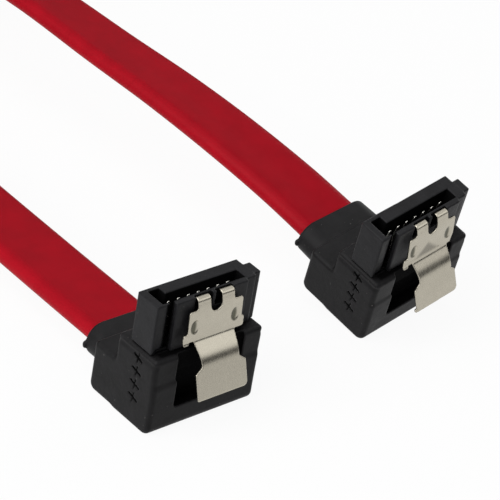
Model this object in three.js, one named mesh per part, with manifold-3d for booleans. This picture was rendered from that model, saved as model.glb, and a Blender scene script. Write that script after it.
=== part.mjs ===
// A flat serial data cable with a right-angle latching receptacle on each end.
// Millimetres and degrees, Z up. The origin is the centre of the left overmould's foot.
// X runs across the left connector, Y runs back along its cable, and Z is its mating direction.
import * as THREE from 'three';
import { mergeVertices } from 'three/addons/utils/BufferGeometryUtils.js';
import Module from 'manifold-3d';

const wasm = await Module();
wasm.setup();

// Overmould block
const overmouldWidth = 14;
const overmouldDepth = 9.6;
const blockHeight = 9;
const rearHeight = 5.8;
const rearDepth = 3.4;
const edgeRound = 0.3;
const footRound = 0.9;
const fitGap = 0.1;

// Thumb recess in the overmould's front
const recessWidth = 8.2;
const recessFloor = 2.65;
const recessTop = 6.8;
const recessDepth = 1.6;
const reliefDepth = 0.5;

// Crossed grip grooves in the overmould's sides
const gripRows = 4;
const gripPitch = 1.6;
const gripTop = 7.9;
const gripBehindFront = 2.8;
const gripLength = 1.5;
const gripGroove = 0.3;
const gripDepth = 0.28;
const gripSlant = 28;

// Strain relief sleeve
const sleeveWidth = 10.8;
const sleeveThickness = 4;
const sleeveHeight = 2.95;
const sleeveLength = 3.4;

// Receptacle housing
const slotLength = 10.6;
const slotDepth = 1.4;
const slotLeft = -5.92;
const slotFront = -3.2;
const keyDepth = 2.45;
const keyWidth = 1.4;
const leftEndWall = 0.85;
const rightEndWall = 1.2;
const frontWall = 0.35;
const backWall = 0.45;
const noseHeight = 5.85;
const slotFloorThickness = 0.25;
const ribProud = 0.9;
const ribDepth = 1.8;
const ribInset = 1.05;
const plateauWidth = 9.2;
const plateauProud = 0.35;
const tabPocketDepth = 0.45;
const tabPocketHeight = 1.7;
const tabPocketMargin = 0.5;
const tabPocketTight = 0.12;
const baseInset = 0.8;
const baseBottom = 7;
const flangeProud = 0.3;
const flangeHeight = 0.8;

// Contacts
const contactCount = 7;
const contactPitch = 1.27;
const contactFromEnd = 1.27;
const contactWidth = 0.6;
const contactThickness = 0.2;
const contactTipDrop = 0.55;
const contactBow = 0.75;
const contactTipOut = 0.55;
const tailBehindFront = 1;
const tailBottom = 4.6;

// Inner mould and wire ends
const mouldHalfWidth = 5.6;
const mouldBottom = 1.1;
const mouldFront = -2.8;
const mouldShoulder = 0.6;
const mouldBack = 3.3;
const mouldRearTop = 4.8;
const channelMargin = 0.6;
const channelAhead = 0.3;
const channelBehind = 1.5;
const wireRadius = 0.4;
const drainRadius = 0.22;
const wireFan = 1.05;
const wireBend = 2.2;
const wireTop = 6.2;

// Latch spring
const latchCentre = 0.2;
const latchThickness = 0.25;
const latchHookRadius = 0.35;
const latchHookDrop = 0.58;
const latchClearance = 0.2;
const latchPlateLength = 4.25;
const latchArmLength = { left: 2.15, right: 1.8 };
const latchArmAngle = 40.5;
const flapLength = { left: 4.1, right: 3.7 };
const flapAngle = { left: 14, right: 17 };
const tabWidth = 1.63;
const tabNotch = 1.4;
const notchExtra = 0.67;
const plateWidth = 6.9;
const wingProud = { left: 0.5, right: 0.35 };
const wingHeight = 1.25;
const wingDrop = { left: 0.3, right: 0 };
const armWidth = 5.25;
const neckWidth = 4.8;
const flapReach = { left: 3.25, right: 3.05 };
const flapShoulder = 1.25;
const flapCorner = { left: 0.15, right: 0.55 };
const dimpleWidth = 0.95;
const dimpleHeight = 1.55;
const dimpleDepth = 0.15;
const dimpleSpacing = 5.2;
const dimpleBelowShoulder = 1.9;
const hookFrom = 60;
const shoulderDrop = 0.65;
const notchRound = 0.7;
const wingTaper = 0.15;
const latchLean = { left: 3.5, right: 8.5 };

// Flat cable
const cableWidth = 8;
const cableThickness = 2;
const cableHeight = 2.8;
const cableInSleeve = 4.5;
const cableFit = 0.08;
const pieceGap = 0.3;

// Right connector's place and attitude on the table
const rightX = 30.87;
const rightY = 2.59;
const rightTurn = 5.6;
const rightPitch = 11.8;
const rightRoll = -8.9;

// Where the cable runs lie: along from its connector, beside its middle and above its foot
const leftRun = [
  [9, 0, 2.8],
  [18, 0, 2.75],
  [28, 0, 2.75],
  [38, 0, 2.8],
  [48, 0, 3],
  [58, 0, 3.5],
  [68, 0, 4.2],
  [79, 0, 4.8],
];
const rightRun = [
  [6.5, 0, 2.8],
  [8.6, 0, 2.83],
  [15, -0.11, 2.93],
  [24, -0.38, 2.6],
  [34, -0.51, 1.48],
  [45, -0.65, -0.34],
  [57, -0.76, -2.25],
];
const rightSlump = 17.5;
const slumpStart = 0.045;
const slumpEnd = 0.56;
const slumpPower = 0.75;

// Hank of the cable's middle and its tie
const hankNear = 100;
const hankLength = 74.5;
const hankCentre = 10.5;
const hankLift = 0.9;
const hankNearWidth = 23.2;
const hankWaistWidth = 12.4;
const hankFarWidth = 26.8;
const waistAlong = 37;
const nearLoopAlong = 11;
const farLoopAlong = 60.5;
const tieWidth = 6;
const tieThickness = 0.6;

// Finishes
const finish = (color, roughness, metalness = 0) =>
  new THREE.MeshStandardMaterial({ color, roughness, metalness });
const blackVinyl = () => finish(0x2c2b2a, 0.55);
const blackNylon = () => finish(0x252427, 0.4);
const springSteel = () => finish(0xb5ad9e, 0.3, 0.9);
const contactPlating = () => finish(0xcfcbc2, 0.25, 1);
const redVinyl = () => finish(0xa51c24, 0.42);
const naturalMould = () => finish(0xb9b6ad, 0.6);
const foil = () => finish(0xc9cbcc, 0.35, 0.9);
const wireJacket = [0xd8d4c8, 0x3b5fa8, 0xd8d4c8, 0x3b5fa8];

const radians = THREE.MathUtils.degToRad;

// Solids: a closed mesh becomes a solid for joins and cuts, and comes back as a flat-shaded mesh.
function solid(geometry) {
  const bare = geometry.clone();
  bare.deleteAttribute('normal');
  bare.deleteAttribute('uv');
  const merged = mergeVertices(bare, 1e-5);
  return new wasm.Manifold(new wasm.Mesh({
    numProp: 3,
    vertProperties: new Float32Array(merged.attributes.position.array),
    triVerts: new Uint32Array(merged.index.array),
  }));
}

function surface(shape) {
  const { vertProperties, triVerts, numProp } = shape.getMesh();
  const positions = new Float32Array(triVerts.length * 3);
  triVerts.forEach((vertex, i) => {
    for (let axis = 0; axis < 3; axis++) positions[3 * i + axis] = vertProperties[numProp * vertex + axis];
  });
  const geometry = new THREE.BufferGeometry();
  geometry.setAttribute('position', new THREE.BufferAttribute(positions, 3));
  geometry.computeVertexNormals();
  return geometry;
}

function piece(name, shape, material) {
  const geometry = shape.isBufferGeometry ? shape : surface(shape);
  const mesh = new THREE.Mesh(geometry, material);
  mesh.name = name;
  return mesh;
}

const extrude = (shape, depth, options = {}) =>
  new THREE.ExtrudeGeometry(shape, { depth, bevelEnabled: false, curveSegments: 6, ...options });

// A box between two corners.
function box(x0, x1, y0, y1, z0, z1) {
  const geometry = new THREE.BoxGeometry(x1 - x0, y1 - y0, z1 - z0);
  return solid(geometry.translate((x0 + x1) / 2, (y0 + y1) / 2, (z0 + z1) / 2));
}

// An outline in (Y, Z) swept along X from x0 to x1.
function sweptX(outline, x0, x1, options) {
  const turned = new THREE.Matrix4().set(0, 0, 1, x0, 1, 0, 0, 0, 0, 1, 0, 0, 0, 0, 0, 1);
  return extrude(outline, x1 - x0, options).applyMatrix4(turned);
}

// An outline in (X, Z) swept along Y from y0 to y1.
function sweptY(outline, y0, y1) {
  return extrude(outline, y1 - y0).rotateX(Math.PI / 2).translate(0, y1, 0);
}

// A closed polygon whose listed corners are rounded: each point is [a, b, radius].
function rounded(points) {
  const outline = new THREE.Shape();
  const count = points.length;
  points.forEach(([a, b, radius = 0], i) => {
    const here = new THREE.Vector2(a, b);
    const toward = (point) => new THREE.Vector2(point[0], point[1]).sub(here).setLength(radius).add(here);
    const start = radius ? toward(points[(i + count - 1) % count]) : here;
    const end = radius ? toward(points[(i + 1) % count]) : here;
    if (i === 0) outline.moveTo(start.x, start.y);
    else outline.lineTo(start.x, start.y);
    if (radius) outline.quadraticCurveTo(a, b, end.x, end.y);
  });
  outline.closePath();
  return outline;
}

// A flat bar with half-round edges, centred on (0, height).
function stadium(width, thickness, height = 0) {
  const radius = thickness / 2;
  const reach = width / 2 - radius;
  const outline = new THREE.Shape();
  outline.moveTo(-reach, height - radius);
  outline.lineTo(reach, height - radius);
  outline.absarc(reach, height, radius, -Math.PI / 2, Math.PI / 2);
  outline.lineTo(-reach, height + radius);
  outline.absarc(-reach, height, radius, Math.PI / 2, 3 * Math.PI / 2);
  return outline;
}

// The outline of a strip of even thickness that follows a centre line.
function band(points, thickness) {
  const line = points.map(([a, b]) => new THREE.Vector2(a, b));
  const side = (sign) => line.map((point, i) => {
    const before = point.clone().sub(line[Math.max(i - 1, 0)]).normalize();
    const after = line[Math.min(i + 1, line.length - 1)].clone().sub(point).normalize();
    const along = before.add(after).normalize();
    const leg = i > 0 ? point.clone().sub(line[i - 1]).normalize() : along;
    const reach = sign * thickness / 2 / leg.dot(along);
    return new THREE.Vector2(point.x - along.y * reach, point.y + along.x * reach);
  });
  return new THREE.Shape([...side(1), ...side(-1).reverse()]);
}

// Shared places in a connector's own frame
const frontY = -overmouldDepth / 2;
const backY = overmouldDepth / 2;
const stepY = backY - rearDepth;
const slotRight = slotLeft + slotLength;
const slotBack = slotFront + slotDepth;
const nose = {
  left: slotLeft - leftEndWall,
  right: slotRight + rightEndWall,
  front: slotFront - frontWall,
  back: slotFront + keyDepth + backWall,
  top: blockHeight + noseHeight,
};
const base = {
  left: nose.left + baseInset,
  right: nose.right - baseInset,
  front: slotFront,
  back: nose.back - backWall / 2,
};
const slotFloor = blockHeight + slotFloorThickness;
const plateauFront = nose.front - plateauProud;
const contactX = (i) => slotLeft + contactFromEnd + i * contactPitch;
const tailY = slotFront + tailBehindFront;
const hinge = {
  y: plateauFront - latchClearance - latchThickness / 2 + latchHookRadius,
  z: nose.top - latchHookDrop,
};
const tabInner = tabNotch / 2;
const tabOuter = tabInner + tabWidth;

function overmould() {
  const profile = rounded([
    [frontY + edgeRound, edgeRound, footRound],
    [backY - edgeRound, edgeRound, footRound],
    [backY - edgeRound, rearHeight - edgeRound, edgeRound],
    [stepY - edgeRound, rearHeight - edgeRound],
    [stepY - edgeRound, blockHeight - edgeRound, edgeRound],
    [frontY + edgeRound, blockHeight - edgeRound, edgeRound],
  ]);
  const half = overmouldWidth / 2;
  const bevel = {
    bevelEnabled: true, bevelThickness: edgeRound, bevelSize: edgeRound, bevelSegments: 2, curveSegments: 4,
  };
  let body = solid(sweptX(profile, edgeRound - half, half - edgeRound, bevel));
  const sleeve = stadium(sleeveWidth, sleeveThickness, sleeveHeight);
  body = body.add(solid(sweptY(sleeve, stepY, backY + sleeveLength)));
  return body.subtract(recess()).subtract(grips()).subtract(cavity());
}

// The thumb recess under the latch flap, and the shallower relief that lets the arm swing in.
function recess() {
  const left = latchCentre - recessWidth / 2;
  const right = latchCentre + recessWidth / 2;
  const outside = frontY - 1;
  const deep = box(left, right, outside, frontY + recessDepth, recessFloor, recessTop);
  return deep.add(box(left, right, outside, frontY + reliefDepth, recessTop - fitGap, blockHeight + 1));
}

function grips() {
  const cuts = [];
  for (const side of [-1, 1]) {
    for (let row = 0; row < gripRows; row++) {
      for (const slant of [-1, 1]) {
        const groove = new THREE.BoxGeometry(2 * gripDepth, gripLength, gripGroove);
        groove.rotateX(radians(90 + slant * gripSlant));
        groove.translate(side * overmouldWidth / 2, frontY + gripBehindFront, gripTop - row * gripPitch);
        cuts.push(solid(groove));
      }
    }
  }
  return cuts.reduce((all, cut) => all.add(cut));
}

// The space for the inner mould and the housing's base, open at the top and through the sleeve.
function cavity() {
  const gap = fitGap;
  const inner = mouldBlock(gap);
  const flange = housingFlange(gap);
  const neck = box(base.left - gap, base.right + gap, base.front - gap, base.back + gap,
    baseBottom + flangeHeight, blockHeight + 1);
  const bore = stadium(cableWidth + 2 * cableFit, cableThickness + 2 * cableFit, cableHeight);
  const tunnel = solid(sweptY(bore, mouldBack, backY + sleeveLength + 1));
  return inner.add(flange).add(neck).add(tunnel);
}

function housingFlange(gap = 0) {
  return box(base.left - flangeProud - gap, base.right + flangeProud + gap,
    base.front - flangeProud - gap, base.back + flangeProud + gap,
    baseBottom - gap, baseBottom + flangeHeight + gap);
}

function housing() {
  const bottom = blockHeight + fitGap;
  const round = 0.15;
  const outline = rounded([
    [nose.left, nose.front, round],
    [nose.right, nose.front, round],
    [nose.right, nose.back, round],
    [nose.left, nose.back, round],
  ]);
  let body = solid(extrude(outline, nose.top - bottom, { curveSegments: 2 }).translate(0, 0, bottom));
  const ribBack = nose.back - ribInset;
  body = body.add(box(nose.right - 1, nose.right + ribProud, ribBack - ribDepth, ribBack, bottom, nose.top));
  body = body.add(box(-plateauWidth / 2, plateauWidth / 2, plateauFront, nose.front + 0.1, bottom, nose.top));
  body = body.add(box(base.left, base.right, base.front, base.back, baseBottom, bottom + 0.1));
  body = body.add(housingFlange());
  body = body.subtract(matingSlot());
  for (const side of [-1, 1]) body = body.subtract(tabPocket(side));
  for (let i = 0; i < contactCount; i++) {
    const reach = contactWidth / 2 + fitGap;
    body = body.subtract(box(contactX(i) - reach, contactX(i) + reach,
      slotFront + 0.2, tailY + contactThickness / 2 + fitGap, baseBottom - 1, slotFloor + 1));
  }
  return body;
}

// The L-shaped slot that takes the mating tongue.
function matingSlot() {
  const open = nose.top + 1;
  const long = box(slotLeft, slotRight, slotFront, slotBack, slotFloor, open);
  return long.add(box(slotLeft, slotLeft + keyWidth, slotFront, slotFront + keyDepth, slotFloor, open));
}

// The pocket in the front wall that takes one curled latch tab.
function tabPocket(side) {
  const inner = latchCentre + side * tabInner;
  const outer = latchCentre + side * tabOuter;
  const left = Math.min(inner, outer) - tabPocketMargin;
  const right = Math.max(inner, outer) + tabPocketTight;
  return box(left, right, plateauFront - 1, plateauFront + tabPocketDepth,
    nose.top - tabPocketHeight, nose.top + 1);
}

// A spring contact: a tail in the inner mould, a jog through the slot's floor and a bowed beam.
function contact(i) {
  const line = [
    [tailY, tailBottom],
    [tailY, baseBottom + flangeHeight],
    [slotFront + contactTipOut, slotFloor + 0.3],
    [slotFront + contactBow, nose.top - contactTipDrop - 1.3],
    [slotFront + contactTipOut, nose.top - contactTipDrop],
  ];
  const x = contactX(i);
  return sweptX(band(line, contactThickness), x - contactWidth / 2, x + contactWidth / 2);
}

// The inner mould's outside: tall under the housing and low under the overmould's step.
function mouldBlock(gap = 0) {
  const half = mouldHalfWidth + gap;
  const bottom = mouldBottom - gap;
  const tall = box(-half, half, mouldFront - gap, mouldShoulder + gap, bottom, baseBottom - fitGap + gap);
  return tall.add(box(-half, half, mouldFront, mouldBack + gap, bottom, mouldRearTop + gap));
}

// The inner mould: a block with one channel that brings the wires in and turns them up.
function innerMould() {
  const left = contactX(0) - channelMargin;
  const right = contactX(contactCount - 1) + channelMargin;
  const front = tailY - channelAhead;
  const floor = cableHeight - 2 * wireRadius;
  const ceiling = cableHeight + 2 * wireRadius;
  const run = box(left, right, front, mouldBack + 1, floor, ceiling);
  const well = box(left, right, front, tailY + channelBehind, floor, baseBottom + 1);
  return mouldBlock().subtract(run).subtract(well);
}

const isDrain = (i) => i === 0 || i === 3 || i === 6;

// A wire end from the cable's cut face to the back of its contact's tail.
function wire(i) {
  const radius = isDrain(i) ? drainRadius : wireRadius;
  const x = contactX(i);
  const cableX = (i - (contactCount - 1) / 2) * wireFan;
  const rise = tailY + contactThickness / 2 + fitGap + radius;
  const spread = (share) => cableX + (x - cableX) * share;
  const path = new THREE.CatmullRomCurve3([
    [spread(0), cableInSleeve - pieceGap, cableHeight],
    [spread(0.15), mouldBack, cableHeight],
    [spread(0.85), rise + wireBend, cableHeight],
    [x, rise + 0.4 * wireBend, cableHeight + 0.05 * wireBend],
    [x, rise + 0.07 * wireBend, cableHeight + 0.36 * wireBend],
    [x, rise, cableHeight + 0.77 * wireBend],
    [x, rise, wireTop],
  ].map((point) => new THREE.Vector3(...point)));
  const section = new THREE.Shape().absarc(0, 0, radius, 0, 2 * Math.PI);
  return extrude(section, 0, { extrudePath: path, steps: 14, curveSegments: 4 });
}

// A point at a length from another, straight down or leaning out by an angle.
function below([y, z], length, lean = 0) {
  return [y - length * Math.sin(radians(lean)), z - length * Math.cos(radians(lean))];
}

// The latch spring about its hinge: a bent strip trimmed to its front outline, with two dimples.
function latch(side) {
  const hook = [];
  for (let angle = hookFrom; angle <= 180; angle += 20) {
    hook.push([latchHookRadius * Math.cos(radians(angle)), latchHookRadius * Math.sin(radians(angle))]);
  }
  const firstBend = below([-latchHookRadius, 0], latchPlateLength);
  const secondBend = below(firstBend, latchArmLength[side], latchArmAngle);
  const end = below(secondBend, flapLength[side], flapAngle[side]);
  const strip = band([...hook, firstBend, secondBend, end], latchThickness);
  const sheet = solid(sweptX(strip, -plateWidth, plateWidth));
  const outline = latchOutline(firstBend[1], secondBend[1], end[1]);
  let spring = sheet.intersect(solid(sweptY(outline, end[0] - 1, 1)));
  const face = -latchHookRadius - latchThickness / 2;
  for (const place of [-1, 1]) {
    const dimple = new THREE.SphereGeometry(1, 12, 8).scale(dimpleWidth / 2, dimpleDepth, dimpleHeight / 2);
    dimple.translate(place * dimpleSpacing / 2, face, -shoulderDrop - dimpleBelowShoulder);
    spring = spring.subtract(solid(dimple));
  }
  return spring;
}

// The flat outline seen from the front, with its two tabs, notch, wings, neck and flap.
function latchOutline(firstBend, secondBend, end) {
  const shoulder = -shoulderDrop;
  const top = latchHookRadius + 1;
  const plate = plateWidth / 2;
  const wingTop = firstBend + wingHeight;
  const side = (name) => [
    [flapReach[name], end + latchThickness / 4, flapCorner[name]],
    [flapReach[name], secondBend - flapShoulder],
    [neckWidth / 2, secondBend - flapShoulder / 2],
    [neckWidth / 2, secondBend],
    [armWidth / 2, firstBend - wingTaper],
    [plate - 2 * wingTaper, firstBend - wingTaper],
    [plate + wingProud[name] - 2 * wingTaper, firstBend - wingTaper - wingDrop[name], wingTaper / 2],
    [plate + wingProud[name], firstBend + wingTaper],
    [plate + wingProud[name], wingTop - 2 * wingTaper, wingTaper / 2],
    [plate, wingTop - wingTaper],
    [plate, shoulder],
    [tabOuter, shoulder],
    [tabOuter, top],
    [tabInner, top],
    [tabInner, shoulder - notchExtra, notchRound],
  ];
  const mirror = ([x, z, radius]) => [-x, z, radius];
  return rounded([...side('right'), ...side('left').map(mirror).reverse()]);
}

// One whole connector in its own frame.
function connector(side) {
  const group = new THREE.Group();
  group.add(piece(`${side}_overmould`, overmould(), blackVinyl()));
  group.add(piece(`${side}_housing`, housing(), blackNylon()));
  group.add(piece(`${side}_inner_mould`, innerMould(), naturalMould()));
  for (let i = 0; i < contactCount; i++) {
    group.add(piece(`${side}_contact_${i + 1}`, contact(i), contactPlating()));
    const name = isDrain(i) ? `${side}_ground_wire_${i + 1}` : `${side}_signal_wire_${i + 1}`;
    const jacket = isDrain(i) ? foil() : finish(wireJacket[i < 3 ? i - 1 : i - 2], 0.5);
    group.add(piece(name, wire(i), jacket));
  }
  const spring = piece(`${side}_latch`, latch(side), springSteel());
  spring.position.set(latchCentre, hinge.y, hinge.z);
  spring.rotation.x = -radians(latchLean[side]);
  group.add(spring);
  return group;
}

// A route for the flat cable: its width turns from flat to upright between two shares of its length.
class RibbonRoute extends THREE.CatmullRomCurve3 {
  constructor(points, turn) {
    super(points.map((point) => new THREE.Vector3(...point)), false, 'centripetal');
    this.turn = turn;
  }

  computeFrenetFrames(segments) {
    const frames = { tangents: [], normals: [], binormals: [] };
    for (let i = 0; i <= segments; i++) {
      const share = i / segments;
      const tangent = this.getTangentAt(share);
      const level = new THREE.Vector3().crossVectors(tangent, new THREE.Vector3(0, 0, 1)).normalize();
      const upward = new THREE.Vector3().crossVectors(level, tangent);
      const angle = this.turn(share);
      const across = level.multiplyScalar(Math.cos(angle)).addScaledVector(upward, Math.sin(angle));
      frames.tangents.push(tangent);
      frames.normals.push(across);
      frames.binormals.push(new THREE.Vector3().crossVectors(tangent, across));
    }
    return frames;
  }
}

const upright = Math.PI / 2;
const smooth = THREE.MathUtils.smoothstep;

function ribbon(route, steps) {
  return extrude(stadium(cableWidth, cableThickness), 0, { extrudePath: route, steps, curveSegments: 4 });
}

const left = connector('left');
const right = connector('right');
right.rotation.set(radians(rightPitch), radians(rightRoll), radians(rightTurn), 'ZXY');
right.position.set(rightX, rightY, 0);
right.updateMatrixWorld(true);
const rightFoot = new THREE.Box3().setFromObject(right.getObjectByName('right_overmould'), true).min.z;
right.position.z = -rightFoot;
right.updateMatrixWorld(true);

// Cable runs: the left one leaves level, the right one arches, and both turn on edge at the hank.
const hankHeight = hankLift + cableWidth / 2;
const hankLeft = hankCentre - hankNearWidth / 2 + cableThickness / 2 + 0.1;
const hankRight = 2 * hankCentre - hankLeft;
const inFrame = (connectorGroup) => ([along, beside, above]) =>
  new THREE.Vector3(beside, along, above).applyMatrix4(connectorGroup.matrixWorld).toArray();
const cutEnd = [cableInSleeve, 0, cableHeight];
const leftRoute = new RibbonRoute([
  ...[cutEnd, ...leftRun].map(inFrame(left)),
  [hankLeft, 92, hankHeight],
  [hankLeft, hankNear - pieceGap, hankHeight],
], (share) => upright * smooth(share, 0.42, 0.88));

// The right run starts at its connector's tilt and slumps the other way before it turns on edge.
function rightLean(share) {
  const passed = THREE.MathUtils.clamp((share - slumpStart) / (slumpEnd - slumpStart), 0, 1);
  const slump = radians(rightSlump) * passed ** slumpPower;
  const start = -radians(rightRoll);
  return start - slump + (upright - start + slump) * smooth(share, slumpEnd, 0.93);
}
const rightRoute = new RibbonRoute([
  ...[cutEnd, ...rightRun].map(inFrame(right)),
  [24.3, 69, 10.8],
  [23, 80, 8.4],
  [hankRight + 0.3, 89, 6],
  [hankRight, 95, hankHeight],
  [hankRight, hankNear - pieceGap, hankHeight],
], rightLean);

// The folded middle as one block: two loops' width at each end and a waist under the tie.
function hank() {
  const far = hankNear + hankLength;
  const waist = hankNear + waistAlong;
  const half = hankWaistWidth / 2;
  const wide = hankFarWidth / 2;
  const near = hankNearWidth / 2;
  const side = [
    [near, hankNear],
    [near - 0.6, hankNear + nearLoopAlong],
    [half, waist - tieWidth],
    [half, waist + tieWidth],
    [wide - 1, hankNear + farLoopAlong, 3],
    [wide, (hankNear + farLoopAlong + far) / 2, 3],
    [wide - 4.5, far, 4],
  ];
  const mirror = ([x, y, radius]) => [-x, y, radius];
  const outline = rounded([...side, ...side.map(mirror).reverse()]);
  return extrude(outline, cableWidth, { curveSegments: 4 }).translate(hankCentre, 0, hankLift);
}

// The strap round the waist of the hank.
function tie() {
  const inner = hankWaistWidth / 2 + pieceGap;
  const low = tieThickness;
  const high = hankLift + cableWidth + pieceGap;
  const ring = (grow, radius) => [
    [-inner - grow, low - grow, radius],
    [inner + grow, low - grow, radius],
    [inner + grow, high + grow, radius],
    [-inner - grow, high + grow, radius],
  ];
  const outline = rounded(ring(tieThickness, 1.2));
  outline.holes.push(new THREE.Path(rounded(ring(0, 0.6)).getPoints(3)));
  const middle = hankNear + waistAlong;
  return extrude(outline, tieWidth, { curveSegments: 3 })
    .rotateX(Math.PI / 2).translate(hankCentre, middle + tieWidth / 2, 0);
}

const model = new THREE.Group();
model.add(left, right);
model.add(piece('cable_left_run', ribbon(leftRoute, 36), redVinyl()));
model.add(piece('cable_right_run', ribbon(rightRoute, 36), redVinyl()));
model.add(piece('cable_hank', hank(), redVinyl()));
model.add(piece('cable_tie', tie(), finish(0x1f1f21, 0.7)));

export default model;
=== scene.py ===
"""A flat data cable with a right-angle latching connector on each end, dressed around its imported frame."""

from math import cos, pi, radians, sin

import bpy
import numpy as np
from bpy.props import FloatProperty, FloatVectorProperty, PointerProperty
from mathutils import Matrix, Vector


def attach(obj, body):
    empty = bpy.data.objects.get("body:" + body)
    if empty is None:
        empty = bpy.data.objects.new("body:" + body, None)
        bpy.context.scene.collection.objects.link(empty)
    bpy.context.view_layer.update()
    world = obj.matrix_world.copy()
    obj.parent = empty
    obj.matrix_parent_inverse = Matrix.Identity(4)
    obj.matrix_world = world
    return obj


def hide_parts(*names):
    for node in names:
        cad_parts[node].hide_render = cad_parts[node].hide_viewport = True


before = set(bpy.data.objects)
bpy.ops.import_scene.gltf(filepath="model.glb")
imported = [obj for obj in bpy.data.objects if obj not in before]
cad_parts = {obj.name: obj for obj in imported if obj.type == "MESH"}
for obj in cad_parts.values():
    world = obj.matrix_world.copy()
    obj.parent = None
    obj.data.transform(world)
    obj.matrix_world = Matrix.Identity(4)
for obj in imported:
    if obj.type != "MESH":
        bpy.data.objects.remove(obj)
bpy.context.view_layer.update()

bl_info = {
    "name": "Latching flat data cable",
    "version": (1, 0, 0),
    "blender": (4, 5, 0),
    "location": "3D View > Sidebar > Data Cable",
    "description": "Dresses a flat data cable with two latching right-angle connectors",
    "category": "Add Mesh",
}

MM = 0.001

# Camera, as fitted to both connectors: its place, where it looks, its roll and its lens
CAMERA_AT = (-0.15163, -0.15713, 0.15669)
CAMERA_TURN = radians(-45.433)
CAMERA_DROP = radians(32.302)
CAMERA_ROLL = radians(10.18)
LENS = 187.97

# Right connector's place and attitude; the left one stands at the origin
RIGHT_TURN = radians(5.6)
RIGHT_PITCH = radians(11.8)
RIGHT_ROLL = radians(-8.9)
RIGHT_PLACE = (30.87, 2.59, 1.7867)

# Connector sizes in millimetres, in its own frame, centred on the overmould's foot. SIDE_PINCH and SIDE_BOW
# are a depth, a height and a length, and a grip groove is its slant, half length, half width and depth
HALF_WIDTH = 7.0
FRONT = -4.8
BACK = 4.8
STEP = 1.4
TALL = 9.0
LOW = 5.8
FOOT_ROUNDING = 0.9
EDGE_ROUNDING = 0.45
LOW_ARCH = 0.12
SIDE_PINCH = (0.1, 8.35, 0.3)
SIDE_BOW = (0.05, 3.5, 2.4)
RIGHT_DRAFT = 0.45
SLEEVE_REACH = 3.0
SLEEVE_SHIFT = 0.3
SLEEVE_RADIUS = 2.0
SLEEVE_HEIGHT = 2.95
SLEEVE_END = 8.2
LIP_AT = (-5.3, 8.0, 2.7)
LIP_RADIUS = 0.28
LIP_STRETCH = 1.6
GRIP_TOP = 7.9
GRIP_PITCH = 1.6
GRIP_ROWS = 4
GRIP_AT = -2.0
GRIP_BROAD = (radians(-16), 0.62, 0.15, 0.32)
GRIP_FINE = (radians(82), 0.6, 0.07, 0.2)

# Boxes as their lowest and highest corners. POCKET is measured from the latch's middle to both sides
RECESS = ((-3.9, -7.8, 2.65), (4.3, -3.2, 6.8))
RELIEF = ((-4.1, -7.8, 5.8), (4.5, -4.3, 12))
NOSE = ((-6.77, -3.55, 9.1), (5.88, -0.3, 14.85))
RIB = ((4.9, -3.15, 9.1), (6.78, -1.35, 14.85))
PLATEAU = ((-4.6, -3.9, 9.1), (4.6, -3.2, 14.85))
NECK = ((-5.97, -3.2, 7.0), (5.08, -0.525, 9.3))
FLANGE = ((-6.27, -3.5, 7.0), (5.38, -0.225, 7.8))
SLOT = ((-5.92, -3.2, 9.25), (4.68, -1.8, 16))
KEY = ((-5.92, -3.2, 9.25), (-4.52, -0.75, 16))
POCKET = ((0.2, -5.9, 13.15), (2.45, -3.45, 16))
MOULD_TALL = ((-5.7, -2.9, 1.0), (5.7, 0.7, 7.0))
MOULD_LOW = ((-5.7, -2.8, 1.0), (5.7, 3.4, 4.9))
FRONT_GAP = ((-6.3, -4.0, 8), (-4.6, -3.0, 9.6))
PASSAGE = ((-0.4, -3.0, 5), (0.4, -2.0, 10.25))
CABLE_BORE = (3.0, 1.08)
BORE_START = 3.3
FRONT_SINK = 0.3
CLEARANCE = 0.1
# How deep inside a form its painted hollow shade becomes full
HOLLOW_DEPTH = 0.2

# The space in which each form's surface is looked for
OVERMOULD_SPACE = ((-7.6, -5.3, -0.5), (7.6, 8.8, 9.6))
HOUSING_SPACE = ((-7.3, -4.4, 6.6), (7.3, 0.2, 15.4))
LATCH_SPACE = ((-4.3, -8.6, 4.0), (4.6, -3.1, 15.2))

# Contacts: the line is in Y and Z, the tip is its share of the width and the length of its taper, and an
# edge, here and for the tie, is half width, half thickness, squareness and number of points
CONTACTS = 7
CONTACT_PITCH = 1.27
CONTACT_FIRST = -4.65
CONTACT_LINE = (
    (-2.2, 4.6), (-2.2, 7.6), (-2.25, 8.6), (-2.6, 9.7), (-2.52, 11.4), (-2.42, 13.0), (-2.58, 14.42),
)
CONTACT_TIP = (0.32, 0.7)
CONTACT_EDGE = (0.3, 0.1, 5.0, 20)

# Latch sizes, along the sheet from its curled tip and across it from its middle. HINGE is in Y and Z
LATCH_CENTRE = 0.2
SHEET_HALF = 0.125
HINGE = (-3.79, 14.27)
HOOK_RADIUS = 0.35
HOOK_CURL = radians(120)
TIP_BEARING = radians(60)
CURL_LENGTH = HOOK_RADIUS * HOOK_CURL
PLATE_LENGTH = 4.25
FLAP_LENGTH = {"left": 4.1, "right": 3.75}
ARM_ANGLE = radians(40.5)
FLAP_ANGLE = {"left": radians(15.5), "right": radians(18)}
BEND_LENGTHS = (0.7, 1.9)
TAB_SPRING = radians(14)
LEAN = {"left": radians(3.5), "right": radians(8.5)}
ARM_LENGTH = {"left": 2.13, "right": 1.79}
TAB = (0.7, 2.33)
PLATE_HALF = 3.45
ARM_HALF = 2.62
NECK_HALF = 2.4
FLAP_HALF = 3.25
FLAP_TRIM = {"left": 0.05, "right": 0.4}
SHOULDER = 0.72
NOTCH_RADIUS = 0.7
NOTCH_EXTRA = 0.65
LEFT_WING = 0.5
RIGHT_WING = 0.35
FLAP_SHOULDER = 1.25
FLAP_LIP = 0.28
DENT_SPACING = 5.2
DENT_BELOW = 1.84
DENT_HALF = (0.5, 0.8)
DENT_DEPTH = 0.17

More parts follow.
